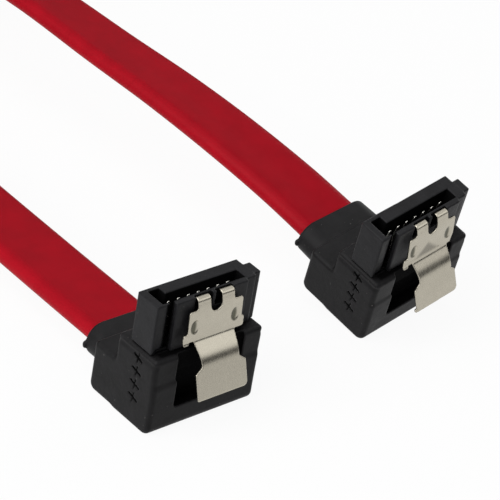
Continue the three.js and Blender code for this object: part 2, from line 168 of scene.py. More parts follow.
# The cable's route: the left run, the folded hank and the right run. A twist is the share of its run that it
# is centred on, and the share that it takes
CABLE_HEIGHT = 2.8
HANK_CENTRE = 10.5
HANK_HEIGHT = 4.9
LEFT_RUN = [
    (0, 4.5, 2.8), (0, 9, 2.8), (0, 18, 2.75), (0, 28, 2.75), (0, 38, 2.8), (0, 48, 3),
    (0, 58, 3.5), (0, 68, 4.2), (0, 79, 4.8), (0, 92, 4.9), (0, 99.7, 4.9),
]
RIGHT_RUN = [
    (0, 4.5, 2.8), (0, 6.5, 2.8), (0, 8.6, 2.83), (-0.11, 15, 2.93), (-0.38, 24, 2.6), (-0.51, 34, 1.48),
    (-0.65, 45, -0.34), (-0.76, 57, -2.25),
]
RIGHT_FAR = [(24.3, 69, 10.8), (23, 80, 8.4), (21.3, 89, 6), (21, 95, 4.9), (21, 99.7, 4.9)]
SLUMP = radians(17.5)
SLEEVE_SLUMP = 0.24
SLUMP_START = 4
SLUMP_LENGTH = 49
SLUMP_POWER = 1.3
LEFT_TWIST = (0.65, 0.46)
RIGHT_TWIST = (0.76, 0.36)
JACKET_HOLLOW = 0.65
HALF_HANK = [
    (-9.5, 112), (-6.2, 126), (-5.1, 137), (-6.5, 148), (-11, 160), (-12.3, 166), (-10.8, 171.5),
    (-7, 173.5), (-3.2, 171.5), (-1.9, 166), (-2.1, 157), (-1.8, 147), (-1.7, 137), (-2.2, 127),
    (-4.6, 116), (-6.0, 109.5), (-4.4, 104.6),
]
HANK_MIDDLE = 102.4
TIE_AT = 137.0
TIE_HALF = (6.5, 4.45)
TIE_HEIGHT = 4.75
TIE_TURN = (-0.65 * pi, 1.55 * pi)
TIE_LIFT = 0.25
TIE_LAP = 0.62
TIE_SQUARENESS = 5.0
TIE_EDGE = (3.0, 0.3, 6.0, 28)

# Marks on the finishes: painted black shade for hollows, pale dust, painted olive shade for dents and painted
# shade on the ledge; and colours of what the overmoulds hide
PAINTED_SHADE_BLACK = (0.003, 0.003, 0.003, 1.0)
DUST = (0.2, 0.19, 0.18, 1.0)
PAINTED_DENT_SHADE = (0.06, 0.06, 0.04, 1.0)
LEDGE_SHADE = 0.85
NATURAL = (0.48, 0.46, 0.42, 1.0)
FOIL = (0.6, 0.6, 0.6, 1.0)
PALE = (0.68, 0.66, 0.58, 1.0)
BLUE = (0.05, 0.11, 0.39, 1.0)

# Light: the floor's half size in millimetres and how white it looks, the sky, and the lamps, each with its
# place, target, size and power
FLOOR_REACH = 4000.0
FLOOR_GLOW = 0.93
WHITE = (1.0, 1.0, 1.0, 1.0)
SKY = (0.95, 0.97, 1.0, 1.0)
SKY_DIM = 0.18
LAMPS = {
    "key": ((-0.42, 0.02, 0.26), (0.01, 0.0, 0.007), 0.5, 2.9),
    "side": ((0.5, 0.08, 0.16), (0.01, 0.05, 0.0), 0.35, 0.9),
    "front": ((0.3, -0.29, 0.29), (0.01, 0.0, 0.007), 0.25, 0.12),
    "top": ((-0.05, 0.1, 0.55), (0.01, 0.02, 0.0), 0.4, 0.85),
}


def right_matrix():
    """The right connector's matrix in millimetres: roll about Y, then pitch about X, then turn about Z."""
    matrix = Matrix.Translation(RIGHT_PLACE)
    for angle, axis in ((RIGHT_TURN, "Z"), (RIGHT_PITCH, "X"), (RIGHT_ROLL, "Y")):
        matrix = matrix @ Matrix.Rotation(angle, 4, axis)
    return matrix


SIDES = {"left": Matrix.Identity(4), "right": right_matrix()}


# Distances: each is below zero inside a form, and grows by one per millimetre outside it
def box(p, corners, rounding=0.0):
    """Distance to a box: how far the point is past each pair of faces, as a length, less the rounding."""
    past = [abs(a - (low + high) / 2) - (high - low) / 2 + rounding for a, low, high in zip(p, *corners)]
    outside = np.sqrt(sum(np.maximum(a, 0) ** 2 for a in past))
    inside = np.minimum(np.maximum(np.maximum(past[0], past[1]), past[-1]), 0)
    return outside + inside - rounding


def join(a, b, blend=0.0):
    """The nearer of two forms, with a fillet of the blend's size where they meet."""
    if not blend:
        return np.minimum(a, b)
    near = np.maximum(blend - abs(a - b), 0) / blend
    return np.minimum(a, b) - near * near * blend / 4


def cut(a, b, blend=0.0):
    """What is in the first form and outside the second, with a rounded edge of the blend's size."""
    return -join(-a, b, blend)


def both(a, b, rounding):
    """What is inside two forms, its edge rounded to a radius."""
    a, b = a + rounding, b + rounding
    return np.hypot(np.maximum(a, 0), np.maximum(b, 0)) + np.minimum(np.maximum(a, b), 0) - rounding


def bar(x, z, reach, radius):
    """Distance to a flat bar with round edges that runs along Y, centred on X = 0 and Z = 0."""
    return np.hypot(np.maximum(abs(x) - reach, 0), z) - radius


def overmould_hull(p):
    """A stepped side profile carried across the width, joined to the oval sleeve and its flash lip. The
    step's top arches, the sides are pinched and bowed, and the right one narrows behind the step."""
    x, y, z = p
    corner = np.where(z < LOW / 2, FOOT_ROUNDING, EDGE_ROUNDING) + 0 * y
    arch = LOW_ARCH * (1 - (x / HALF_WIDTH) ** 2)
    tall = box((y, z), ((FRONT, 0), (STEP, TALL)), corner)
    low = box((y, z - arch * (z > LOW / 2)), ((FRONT, 0), (BACK, LOW)), corner)
    (pinch, pinch_at, spread), (bow, bow_at, wave) = SIDE_PINCH, SIDE_BOW
    waist = pinch * np.exp(-(((z - pinch_at) / spread) ** 2)) + bow * np.cos((z - bow_at) / wave)
    draft = RIGHT_DRAFT * ramp(y, STEP + 0.3, 1.2) * (x > 0)
    body = both(join(tall, low, 0.5), abs(x) - HALF_WIDTH + waist + draft, 0.5)
    sleeve = bar(x + SLEEVE_SHIFT, z - SLEEVE_HEIGHT, SLEEVE_REACH, SLEEVE_RADIUS)
    sleeve = both(sleeve, abs(y - (SLEEVE_END + STEP) / 2) - (SLEEVE_END - STEP) / 2, 0.35)
    lip_x, lip_y, lip_z = LIP_AT
    lip = np.sqrt((x - lip_x) ** 2 + (y - lip_y) ** 2 + ((z - lip_z) / LIP_STRETCH) ** 2) - LIP_RADIUS
    return join(join(body, sleeve, 0.7), lip, 0.15)


def overmould_shape(p):
    """The block and sleeve, less the thumb recess, the grips and the space for what is inside."""
    x, y, z = p
    form = overmould_hull(p)
    form = cut(form, join(box(p, RECESS, 0.35), box(p, RELIEF, 0.3), 0.1), 0.12)
    form = cut(form, grip_shape(p), 0.03)
    bore = both(bar(x, z - CABLE_HEIGHT, *CABLE_BORE), BORE_START - y, 0.05)
    space = join(box(p, MOULD_TALL), box(p, MOULD_LOW))
    for corners in (NECK, FLANGE):
        space = join(space, box(p, corners) - CLEARANCE)
    return cut(form, join(space, bore))


def grip_shape(p):
    """Crossed grooves down each side: a broad one that falls towards the front, and a fine one across it."""
    x, y, z = p
    row = np.clip(np.round((GRIP_TOP - z) / GRIP_PITCH), 0, GRIP_ROWS - 1)
    ahead, rise = GRIP_AT - y, z - GRIP_TOP + row * GRIP_PITCH
    grooves = []
    for slant, half, width, depth in (GRIP_BROAD, GRIP_FINE):
        off = abs(rise * cos(slant) - ahead * sin(slant))
        along = abs(ahead * cos(slant) + rise * sin(slant))
        line = np.hypot(off, np.maximum(along - half, 0)) - width
        grooves.append(both(line, HALF_WIDTH - depth - abs(x), 0.05))
    return join(*grooves)


def nose_block(p, ahead=None):
    """The housing's block, its rib, and its plateau, which stays ahead where the block sinks."""
    form = join(box(p, NOSE, 0.1), box(ahead or p, RIB, 0.12), 0.1)
    return join(form, box(ahead or p, PLATEAU, 0.1), 0.06)


def housing_hull(p):
    """A block with a plateau and a rib. Left of the plateau its front sinks back with the square of X, and
    its front left end has a gap under it."""
    x, y, z = p
    sink = FRONT_SINK * np.clip(x + 6.1, 0, 1) ** 2 * (x < -4.0) * np.clip((-1.9 - y) / 1.2, 0, 1)
    return cut(nose_block((x, y - sink, z), p), box(p, FRONT_GAP, 0.2), 0.1)


def housing_shape(p):
    """The block and its base, less the L-shaped slot, the tab pockets and the contacts' passages."""
    x, y, z = p
    form = join(join(housing_hull(p), box(p, NECK)), box(p, FLANGE, 0.1))
    form = cut(form, join(box(p, SLOT, 0.06), box(p, KEY, 0.06)), 0.1)
    form = cut(form, box((abs(x - LATCH_CENTRE), y, z), POCKET, 0.1), 0.08)
    column = np.clip(np.round((x - CONTACT_FIRST) / CONTACT_PITCH), 0, CONTACTS - 1)
    offset = x - CONTACT_FIRST - column * CONTACT_PITCH
    return cut(form, box((offset, y, z), PASSAGE), 0.05)


def latch_line(side, count=240):
    """The sheet's centre line from its curled tip, seen from the side: its points, how far along it each
    is, and where its two bends are. The heading falls along the curl, springs back over the tabs, stays on
    the plate, and ramps smoothly through each bend."""
    first = CURL_LENGTH + PLATE_LENGTH
    second = first + ARM_LENGTH[side]
    s = np.linspace(0, second + FLAP_LENGTH[side], count)
    turn = np.interp(s, [0, CURL_LENGTH], [HOOK_CURL, 0])
    turn += TAB_SPRING * (1 - ramp(s, 1.5, 1.4)) * ramp(s, CURL_LENGTH, 0.4)
    turn += ARM_ANGLE * ramp(s, first, BEND_LENGTHS[0])
    turn += LEAN[side] - (ARM_ANGLE - FLAP_ANGLE[side]) * ramp(s, second - 0.12, BEND_LENGTHS[1])
    start = TIP_BEARING - LEAN[side]
    step = s[1]
    middle = (turn[1:] + turn[:-1]) / 2
    y = HINGE[0] + HOOK_RADIUS * cos(start) - np.r_[0, np.cumsum(np.sin(middle))] * step
    z = HINGE[1] + HOOK_RADIUS * sin(start) - np.r_[0, np.cumsum(np.cos(middle))] * step
    return np.stack([y, z]), s, first, second


def ramp(s, at, length):
    """From 0 to 1 in an S around a place, over a length."""
    t = np.clip((s - at) / length + 0.5, 0, 1)
    return t * t * (3 - 2 * t)


def latch_shape(side):
    """A bent sheet: its distance from a centre line and its place along it, trimmed to a flat outline."""
    line, s, first, second = latch_line(side)
    start, leg = line[:, :-1], np.diff(line)
    length = np.hypot(*leg)

    def unroll(y, z):
        """Side distance and place along the line for points, from the nearest of the line's legs."""
        past = ((y[:, None] - start[0]) * leg[0] + (z[:, None] - start[1]) * leg[1]) / length ** 2
        share = np.clip(past, 0, 1)
        share[:, 0] = np.minimum(past[:, 0], 1)
        share[:, -1] = np.maximum(past[:, -1], 0)
        gap_y = y[:, None] - start[0] - share * leg[0]
        gap_z = z[:, None] - start[1] - share * leg[1]
        near = np.argmin(gap_y ** 2 + gap_z ** 2, axis=1)
        row = np.arange(len(y))
        share, gap_y, gap_z = share[row, near], gap_y[row, near], gap_z[row, near]
        aside = (gap_y * leg[1, near] - gap_z * leg[0, near]) / length[near]
        return aside, s[near] + share * length[near]

    def shape(p):
        x, y, z = p
        flat_y, flat_z = np.broadcast_arrays(y + 0 * z, z + 0 * y)
        aside, along = unroll(flat_y.ravel(), flat_z.ravel())
        aside, along = aside.reshape(flat_y.shape), along.reshape(flat_y.shape)
        across = x - LATCH_CENTRE
        sheet = abs(aside + DENT_DEPTH * dent_share(across, along)) - SHEET_HALF
        return both(sheet, latch_outline(side, across, along, first, second), 0.05)

    return shape


def dent_share(x, s):
    """The two oval dents: 1 in the middle of each, falling to 0 at its edge."""
    dent_x = (abs(x) - DENT_SPACING / 2) / DENT_HALF[0]
    dent_s = (s - CURL_LENGTH - SHOULDER - DENT_BELOW) / DENT_HALF[1]
    return np.clip(1 - dent_x ** 2 - dent_s ** 2, 0, 1) ** 0.6


def latch_outline(side, x, s, first, second):
    """The flat sheet's outline: tabs, plate, wings, tapering arm and flap as rounded boxes, less a notch.
    The left wing ends in a hook below the bend. The right connector's sheet has no right wing, only a cut
    corner there, and a small lip at the left end of its flap."""
    end = second + FLAP_LENGTH[side]
    shoulder = CURL_LENGTH + SHOULDER
    wide = abs(x)
    plate = ((-PLATE_HALF, shoulder), (PLATE_HALF, first - 0.1))
    form = box((wide, s), plate, np.where(s < first - 2, 0.3, 0.08))
    if side == "right":
        form = np.maximum(form, 0.95 * (x - PLATE_HALF) + 0.3 * (s - first + 1.2))
    form = join(form, box((wide, s), ((TAB[0], 0), (TAB[1], shoulder + 1)), 0.1), 0.3)
    wing_end = -PLATE_HALF - LEFT_WING
    left_wing = box((x, s), ((wing_end, first - 1.0), (0, first - 0.05)), 0.15)
    hook = box((x, s), ((wing_end, first - 0.6), (-PLATE_HALF + 0.15, first + 0.25)), 0.14)
    form = join(form, join(left_wing, hook, 0.2), 0.2)
    if side == "left":
        form = join(form, box((x, s), ((0, first - 1.2), (PLATE_HALF + RIGHT_WING, first)), 0.25), 0.2)
    taper = (ARM_HALF - NECK_HALF) * np.clip((s - first) / (second - first), 0, 1)
    form = join(form, box((wide + taper, s), ((-ARM_HALF, first - 1), (ARM_HALF, second + 0.8))), 0.2)
    flare = (FLAP_HALF - NECK_HALF) * np.clip((second + FLAP_SHOULDER - s) / (FLAP_SHOULDER / 2), 0, 1)
    flare = flare + FLAP_TRIM[side] * (x > 0)
    corner = np.where(x > 0, 0.55, 0.16) * (s > end - 1.5) + 0.1 * (s <= end - 1.5)
    flap = box((wide + flare, s), ((-FLAP_HALF, second + FLAP_SHOULDER / 2), (FLAP_HALF, end)), corner)
    form = join(form, flap, 0.1)
    if side == "right":
        form = join(form, box((x, s), ((-FLAP_HALF - FLAP_LIP, end - 0.4), (0, end)), 0.12), 0.1)
    below = s - shoulder - NOTCH_EXTRA + NOTCH_RADIUS
    notch = np.hypot(np.maximum(wide - 0.03, 0), np.maximum(below, 0)) - NOTCH_RADIUS
    return cut(form, notch, 0.1)


def skin(shape, low, high, step):
    """The surface where a distance is zero: one vertex in each grid cell that the surface crosses, at the
    mean of its crossings and then moved onto the surface along the slope, and one quad per crossed edge."""
    axes = [np.arange(a, b + step, step) for a, b in zip(low, high)]
    x, y, z = np.meshgrid(*axes, indexing="ij", sparse=True)
    value = np.broadcast_to(shape((x, y, z)), [len(a) for a in axes])
    inside = value < 0
    ends = slice(None, -1), slice(1, None)
    count = sum(inside[i, j, k] for i in ends for j in ends for k in ends)
    cells = np.argwhere((count > 0) & (count < 8))
    number = -np.ones(count.shape, int)
    number[tuple(cells.T)] = np.arange(len(cells))
    place = np.zeros((len(cells), 3))
    hits = np.zeros(len(cells))
    faces = []
    for axis in range(3):
        along = np.eye(3, dtype=int)[axis]
        side, other = np.roll(along, 1), np.roll(along, 2)
        for corner in (0 * side, side, other, side + other):
            a, b = value[tuple((cells + corner).T)], value[tuple((cells + corner + along).T)]
            crossed = (a < 0) != (b < 0)
            share = np.where(crossed, a / np.where(crossed, a - b, 1), 0)
            place += crossed[:, None] * (corner + share[:, None] * along)
            hits += crossed
        first = inside[tuple(slice(0, n - d) for n, d in zip(inside.shape, along))]
        second = inside[tuple(slice(d, None) for d in along)]
        edges = np.argwhere(first != second)
        edges = edges[np.all((edges >= 1 - along) & (edges < count.shape), axis=1)]
        ring = [number[tuple((edges - back).T)] for back in (0 * side, side, side + other, other)]
        quads = np.stack(ring, axis=1)
        outward = first[tuple(edges.T)]
        quads[~outward] = quads[~outward][:, ::-1]
        faces.append(quads)
    points = np.array(low) + step * (cells + place / hits[:, None])
    return settle(shape, points, step), np.concatenate(faces)


def settle(shape, points, step):
    """Moves points onto the surface: each step goes down the slope by the distance over its steepness."""
    reach = 0.15 * step
    for _ in range(3):
        value = shape(tuple(points.T))
        slope = []
        for axis in np.eye(3) * reach:
            slope.append((shape(tuple((points + axis).T)) - shape(tuple((points - axis).T))) / (2 * reach))
        slope = np.stack(slope, axis=1)
        move = value[:, None] * slope / np.maximum((slope ** 2).sum(axis=1), 0.3)[:, None]
        points = points - np.clip(move, -step / 2, step / 2)
    return points


def unit(vectors):
    """Each vector at length 1."""
    return vectors / np.linalg.norm(vectors, axis=1)[:, None]


def passed(points, power=1.0):
    """How far each point is along its line, with every leg's length raised to a power."""
    return np.r_[0, np.cumsum(np.linalg.norm(np.diff(points, axis=0), axis=1) ** power)]


def swept(path, across, outline, share=1.0):
    """A closed outline carried along a path: each ring's points are the path's point plus the outline's
    first coordinate along the across direction and its second along the tangent crossed with it."""
    tangent = unit(np.gradient(path, axis=0))
    across = unit(across - (across * tangent).sum(axis=1)[:, None] * tangent)
    other = np.cross(tangent, across)
    size = np.broadcast_to(share, len(path))[:, None, None]
    a, b = outline[:, 0][None, :, None], outline[:, 1][None, :, None]
    rings = path[:, None, :] + size * (a * across[:, None, :] + b * other[:, None, :])
    n, m = rings.shape[:2]
    points = np.concatenate([rings.reshape(-1, 3), path[:1], path[-1:]])
    around = np.arange(m)
    after = (around + 1) % m
    row, last = m * np.arange(n - 1)[:, None], m * (n - 1)
    quads = np.stack([row + around, row + after, row + m + after, row + m + around], -1)
    near = np.stack([0 * around + n * m, after, around], -1)
    far = np.stack([0 * around + n * m + 1, last + around, last + after], -1)
    return points, quads.reshape(-1, 4), np.concatenate([near, far])


def squared(wave, power):
    """A cosine or sine raised to two over the power, with its sign: the side of a rounded rectangle."""
    return np.sign(wave) * abs(wave) ** (2 / power)


def superellipse(half_a, half_b, power, count):
    """An outline with rounded corners."""
    angle = np.linspace(0, 2 * pi, count, endpoint=False)
    return np.stack([half_a * squared(np.cos(angle), power), half_b * squared(np.sin(angle), power)], -1)


def jacket_outline(half_width, half_thickness, dip):
    """Flat faces with half-round edges; each face sinks by a raised cosine along the middle."""
    reach = half_width - half_thickness
    flat = np.linspace(reach, -reach, 19)
    turn = np.linspace(-pi / 2, pi / 2, 9)[1:-1]
    sunk = JACKET_HOLLOW * half_width
    wave = (1 + np.cos(pi * flat / sunk)) / 2 * (abs(flat) < sunk)
    top = np.stack([flat, half_thickness - dip * wave], -1)
    left = np.stack([-reach - half_thickness * np.cos(turn), -half_thickness * np.sin(turn)], -1)
    return np.concatenate([top, left, -top, -left])


def through(points, step):
    """A centripetal Catmull-Rom curve through the points, at even steps of length."""
    points = np.asarray(points, float)
    ends = [2 * points[0] - points[1], 2 * points[-1] - points[-2]]
    points = np.concatenate([[ends[0]], points, [ends[1]]])
    knot = passed(points, 0.5)
    fine = []
    for i in range(1, len(points) - 2):
        t = np.linspace(knot[i], knot[i + 1], 60, endpoint=False)[:, None]
        k, level = knot[i - 1:i + 3], points[i - 1:i + 3]
        for span in (1, 2):
            level = [((k[j + span] - t) * level[j] + (t - k[j]) * level[j + 1]) / (k[j + span] - k[j])
                     for j in range(4 - span)]
        fine.append(((k[2] - t) * level[0] + (t - k[1]) * level[1]) / (k[2] - k[1]))
    fine = np.concatenate([*fine, points[-2:-1]])
    length = passed(fine)
    even = np.linspace(0, length[-1], int(length[-1] / step) + 1)
    return np.stack([np.interp(even, length, fine[:, i]) for i in range(3)], -1)


def cable_route(step=0.7):
    """The cable's centre line, and the angle of its width from level: level at each connector, upright in
    the hank, and in between an S-shaped turn along the run."""
    right = SIDES["right"]
    near_right = [tuple(right @ Vector(stop)) for stop in RIGHT_RUN]
    half = [(HANK_CENTRE + x, y, HANK_HEIGHT) for x, y in HALF_HANK]
    other = [(2 * HANK_CENTRE - x, y, z) for x, y, z in reversed(half)]
    right_run = (near_right + RIGHT_FAR)[::-1]
    stops = LEFT_RUN + half + [(HANK_CENTRE, HANK_MIDDLE, HANK_HEIGHT)] + other + right_run
    line = through(stops, step)
    length = np.linspace(0, 1, len(line))
    ends = [np.argmin(np.linalg.norm(line - stop, axis=1)) for stop in (LEFT_RUN[-1], right_run[0])]
    left_share = length / length[ends[0]]
    right_share = (1 - length) / (1 - length[ends[1]])
    angle = pi / 2 * ramp(left_share, *LEFT_TWIST)
    slump = slumped((1 - length) * step * (len(line) - 1))
    start = -RIGHT_ROLL - slump
    turn = start + (pi / 2 - start) * ramp(right_share, *RIGHT_TWIST)
    return line, np.where(np.arange(len(line)) > ends[1], pi - turn, angle)


def turned_sleeve(points):
    """The right overmould's points with its sleeve turned about the cable by what the run has slumped."""
    x, z = points[:, 0], points[:, 2] - CABLE_HEIGHT
    angle = slumped(points[:, 1] - RIGHT_RUN[0][1])
    across = x * np.cos(angle) + z * np.sin(angle)
    up = z * np.cos(angle) - x * np.sin(angle) + CABLE_HEIGHT
    return np.stack([across, points[:, 1], up], axis=1)


def slumped(along):
    """How far the right run has turned about its line: a quarter in its sleeve, then a rising power."""
    beyond = np.clip((along - SLUMP_START) / SLUMP_LENGTH, 0, 1) ** SLUMP_POWER
    return SLUMP * (SLEEVE_SLUMP * ramp(along, 2.5, 5.0) + (1 - SLEEVE_SLUMP) * beyond)


def width_direction(line, angle):
    """The level direction square to the line, turned up about the line by the angle."""
    tangent = unit(np.gradient(line, axis=0))
    level = unit(np.cross(tangent, [0, 0, 1]))
    upward = np.cross(level, tangent)
    return level * np.cos(angle)[:, None] + upward * np.sin(angle)[:, None]


def tie_loop(step=0.4):
    """A rounded rectangle round the hank's waist in X and Z, its free end lying on its start."""
    half_x, half_z = TIE_HALF
    angle = np.linspace(*TIE_TURN, 400)
    lift = TIE_LIFT + TIE_LAP * ramp(angle, 1.3 * pi, 0.3)
    x = (half_x + lift) * squared(np.cos(angle), TIE_SQUARENESS)
    z = (half_z + lift) * squared(np.sin(angle), TIE_SQUARENESS)
    line = np.stack([HANK_CENTRE + x, 0 * x + TIE_AT, TIE_HEIGHT - z], -1)
    return through(line[::8], step)


class Channel:
    """A shader socket: arithmetic on it adds the Math nodes and gives the next socket."""

    def __init__(self, finish, socket):
        self.finish = finish
        self.socket = socket

    def math(self, operation, *values):
        """A Math node on this socket and others."""
        return self.finish.node("ShaderNodeMath", {"operation": operation}, dict(enumerate((self, *values))))

    def __add__(self, other):
        return self.math("ADD", other)

    __radd__ = __add__

    def __mul__(self, other):
        return self.math("MULTIPLY", other)

    def __sub__(self, other):
        return self.math("SUBTRACT", other)

    def __rsub__(self, other):
        return self.finish.node("ShaderNodeMath", {"operation": "SUBTRACT"}, {0: other, 1: self})

    def sine(self):
        return self.math("SINE")

    def steps(self, low, high):
        """0 below low, 1 above high and smooth between."""
        inputs = {"Value": self, "From Min": low, "From Max": high}
        return self.finish.node("ShaderNodeMapRange", {"interpolation_type": "SMOOTHSTEP"}, inputs)


class Finish:
    """One new material or world and its nodes."""

    def __init__(self, name, kind="materials"):
        self.owner = getattr(bpy.data, kind).new(name)
        self.owner.use_nodes = True
        self.tree = self.owner.node_tree
        self.tree.nodes.clear()

    def node(self, kind, settings=None, inputs=None, output=0):
        """Adds a node, makes its settings, then sets or links its sockets, and returns an output."""
        node = self.tree.nodes.new(kind)
        for name, value in (settings or {}).items():
            setattr(node, name, value)
        for name, value in (inputs or {}).items():
            if isinstance(value, Channel):
                self.tree.links.new(value.socket, node.inputs[name])
            else:
                node.inputs[name].default_value = value
        return Channel(self, node.outputs[output])

    def place(self):
        """Object coordinates in millimetres."""
        spot = self.node("ShaderNodeTexCoord", output="Object")
        return self.node("ShaderNodeVectorMath", {"operation": "SCALE"}, {0: spot, "Scale": 1 / MM})

    def field(self, name):
        """A number that the mesh carries on its points."""
        return self.node("ShaderNodeAttribute", {"attribute_name": name}, output="Fac")

    def ribbon_place(self):
        """The piece's own coordinates in millimetres: across, then along."""
        return self.node("ShaderNodeUVMap", {"uv_map": "ribbon"})

    def stretched(self, vector, scale):
        return self.node("ShaderNodeVectorMath", {"operation": "MULTIPLY"}, {0: vector, 1: scale})

    def part(self, vector, axis):
        return self.node("ShaderNodeSeparateXYZ", None, {"Vector": vector}, output=axis)

    def noise(self, vector, scale, detail, roughness):
        inputs = {"Vector": vector, "Scale": scale, "Detail": detail, "Roughness": roughness}
        return self.node("ShaderNodeTexNoise", {"noise_dimensions": "3D"}, inputs, output="Fac")

    def mix(self, factor, a, b):
        """A colour between two, by a factor. The node's colour sockets have the numbers 6, 7 and 2."""
        settings = {"data_type": "RGBA", "clamp_factor": True}
        return self.node("ShaderNodeMix", settings, {0: factor, 6: a, 7: b}, output=2)

    def bump(self, height, distance, strength, normal=None):
        """A normal from a height, whose distance is in millimetres."""
        inputs = {"Height": height, "Distance": distance * MM, "Strength": strength}
        if normal is not None:
            inputs["Normal"] = normal
        return self.node("ShaderNodeBump", None, inputs, output="Normal")

    def surface(self, painted_shade=None, **sockets):
        """The finish's shader from its named sockets, faded to a painted flat black shade by the painted
        shade factor.
        """
        names = [name.replace("_", " ").title().replace("Ior", "IOR") for name in sockets]
        shader = self.node("ShaderNodeBsdfPrincipled", None, dict(zip(names, sockets.values())))
        if painted_shade is not None:
            # A flat black that stands in for the shade in hollows
            black = self.node("ShaderNodeBsdfDiffuse", None, {"Color": PAINTED_SHADE_BLACK})
            shader = self.node("ShaderNodeMixShader", None, {0: painted_shade, 1: shader, 2: black})
        self.shown(shader)
        return self.owner

    def shown(self, shader):
        """Links a shader to the output of the material or world."""
        world = isinstance(self.owner, bpy.types.World)
        node = self.tree.nodes.new("ShaderNodeOutputWorld" if world else "ShaderNodeOutputMaterial")
        self.tree.links.new(shader.socket, node.inputs["Surface"])


def shade(colour, factor):
    """A colour made lighter or darker."""
    return tuple(min(1.0, part * factor) for part in colour[:3]) + (1.0,)


def vinyl(name, colour, mottle=0.35, roughness=0.5, grain=9.0):
    """Moulded vinyl or nylon: soft mottling, a fine sparked grain and pale dust specks, with a painted black
    shade in its hollows."""
    finish = Finish(name)
    place = finish.place()
    cloud = finish.noise(place, 0.55, 4.0, 0.6)
    fine = finish.noise(place, grain, 3.0, 0.6)
    dust = finish.noise(place, 3.4, 1.0, 0.5).steps(0.77, 0.81)
    # Painted shade: the field fades the finish towards flat black in recesses, slots and under the housing
    painted_shade = finish.field("painted_hollow_shade").steps(0.1, 0.9) * 0.9
    tone = finish.mix(cloud.steps(0.3, 0.7), shade(colour, 1 - mottle), shade(colour, 1 + mottle))
    tone = finish.mix(dust * 0.5, tone, DUST)
    rough = roughness + (cloud - 0.5) * 0.25 + dust * 0.2
    bumped = finish.bump(fine, 0.03, 0.35)
    bumped = finish.bump(cloud, 0.12, 0.5, bumped)
    return finish.surface(painted_shade, base_color=tone, roughness=rough, normal=bumped,
                          specular_ior_level=0.12)


def spring_steel(name, colour):
    """Rolled spring steel: a satin sheet with fine lines down its length, faint stains, small pits and a
    darker patch above the bend, with a painted olive shade on the left side of its dents."""
    finish = Finish(name)
    place = finish.place()
    lines = finish.noise(finish.stretched(place, (6.0, 0.6, 0.35)), 2.2, 4.0, 0.65)
    stain = finish.noise(place, 0.7, 3.0, 0.6)
    grit = finish.noise(place, 5.0, 3.0, 0.7)
    pits = finish.noise(place, 2.6, 2.0, 0.6).steps(0.7, 0.78)
    tone = finish.mix(stain.steps(0.35, 0.7), shade(colour, 0.93), shade(colour, 1.05))
    tone = finish.mix(grit.steps(0.25, 0.75), shade(colour, 0.93), tone)
    tone = finish.mix(pits * 0.6, tone, shade(colour, 0.35))
    # A darker patch on the right sheet above its bend
    tone = finish.mix(finish.field("dark_patch") * 0.85, tone, shade(colour, 0.42))
    # Painted shade on the left side of each dent, as if lit from the left
    tone = finish.mix(finish.field("painted_dent_shade") * 0.9, tone, PAINTED_DENT_SHADE)
    rough = 0.27 + (lines - 0.5) * 0.12 + (stain - 0.5) * 0.08 + pits * 0.15
    bumped = finish.bump(lines - pits * 0.6, 0.012, 0.5)
    return finish.surface(base_color=tone, metallic=1.0, roughness=rough, normal=bumped)


def plating(name, colour):
    """Bright plated contacts with a little variation in their polish."""
    finish = Finish(name)
    place = finish.place()
    wear = finish.noise(place, 2.5, 3.0, 0.6)
    tone = finish.mix(wear.steps(0.4, 0.65), shade(colour, 0.85), colour)
    return finish.surface(base_color=tone, metallic=1.0, roughness=0.18 + wear * 0.2,
                          normal=finish.bump(wear, 0.01, 0.4))


def jacket(name, colour):
    """Satin red vinyl: fine drawing lines along the cable, a soft mottle and a few darker specks."""
    finish = Finish(name)
    spot = finish.ribbon_place()
    lines = finish.noise(finish.stretched(spot, (3.5, 0.05, 1.0)), 1.0, 3.0, 0.6)
    cloud = finish.noise(spot, 0.3, 3.0, 0.6)
    specks = finish.noise(spot, 3.0, 2.0, 0.6).steps(0.7, 0.78)
    tone = finish.mix(cloud.steps(0.3, 0.7), shade(colour, 0.93), shade(colour, 1.06))
    tone = finish.mix(specks * 0.3, tone, shade(colour, 0.5))
    rough = 0.4 + (lines - 0.5) * 0.12 + (cloud - 0.5) * 0.1
    bumped = finish.bump(lines, 0.015, 0.4)
    bumped = finish.bump(finish.noise(spot, 1.2, 2.0, 0.5), 0.02, 0.3, bumped)
    return finish.surface(base_color=tone, roughness=rough, normal=bumped, specular_ior_level=0.04)


def strap(name, colour):
    """A woven strap: the product of two sine waves, across it and along it."""
    finish = Finish(name)
    spot = finish.ribbon_place()
    across = (finish.part(spot, 0) * 9.0).sine()
    along = (finish.part(spot, 1) * 7.0).sine()
    weave = across * along * 0.5 + 0.5
    tone = finish.mix(weave, shade(colour, 0.6), shade(colour, 1.5))
    rough = 0.85 - weave * 0.15
    return finish.surface(base_color=tone, roughness=rough, normal=finish.bump(weave, 0.08, 0.7))


def insulation(name, colour):
    """Smooth wire insulation with faint clouding."""
    finish = Finish(name)
    cloud = finish.noise(finish.place(), 1.5, 3.0, 0.6)
    tone = finish.mix(cloud.steps(0.3, 0.7), shade(colour, 0.85), shade(colour, 1.05))
    return finish.surface(base_color=tone, roughness=0.35 + cloud * 0.2, normal=finish.bump(cloud, 0.02, 0.3))


